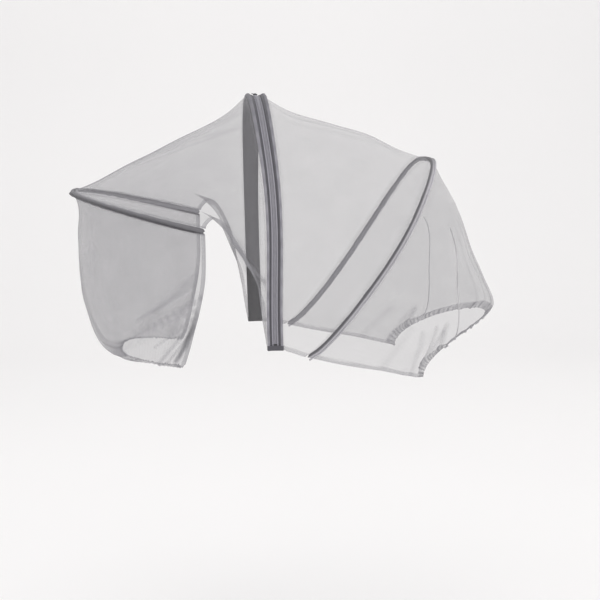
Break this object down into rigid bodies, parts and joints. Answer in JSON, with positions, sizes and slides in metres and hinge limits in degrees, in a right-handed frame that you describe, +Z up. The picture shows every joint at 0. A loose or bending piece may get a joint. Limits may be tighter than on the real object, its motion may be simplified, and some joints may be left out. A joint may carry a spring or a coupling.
{
  "type": "stroller mosquito net with its spring hoops",
  "caption": "Hollow fitted insect net for a stroller's lying unit, with spring hoops at both ends and a zip over its arch.",
  "frame": {"origin": "under the top of the zip arch, where the cover's highest point is held up from inside", "axes": "+X towards the head end, +Y towards the far side, +Z up"},
  "size_m": [0.8298, 0.3937, 0.5365],
  "materials": {
    "net": "sheer grey polyester net with a fine even mesh",
    "sleeve": "dark grey woven sleeve drawn over a spring rod",
    "casing": "dark grey soft padded strip, sewn along both edges",
    "tape": "mid grey herringbone zip tape",
    "teeth": "satin grey nylon coil",
    "metal": "dark grey enamel, worn a little at the edges"
  },
  "bodies": {
    "root": {"net_foot": "net", "net_front": "net", "net_crown": "net", "net_head": "net", "net_back": "net", "foot_hoop": "sleeve", "rear_hoop": "sleeve", "zip_casing_front": "casing", "zip_casing_rear": "casing", "zip_tape_front": "tape", "zip_tape_rear": "tape", "zip_chain": "teeth", "zip_stop_near": "metal", "zip_stop_far": "metal", "zip_slider": "metal", "zip_pull": "metal"}
  },
  "joints": []
}
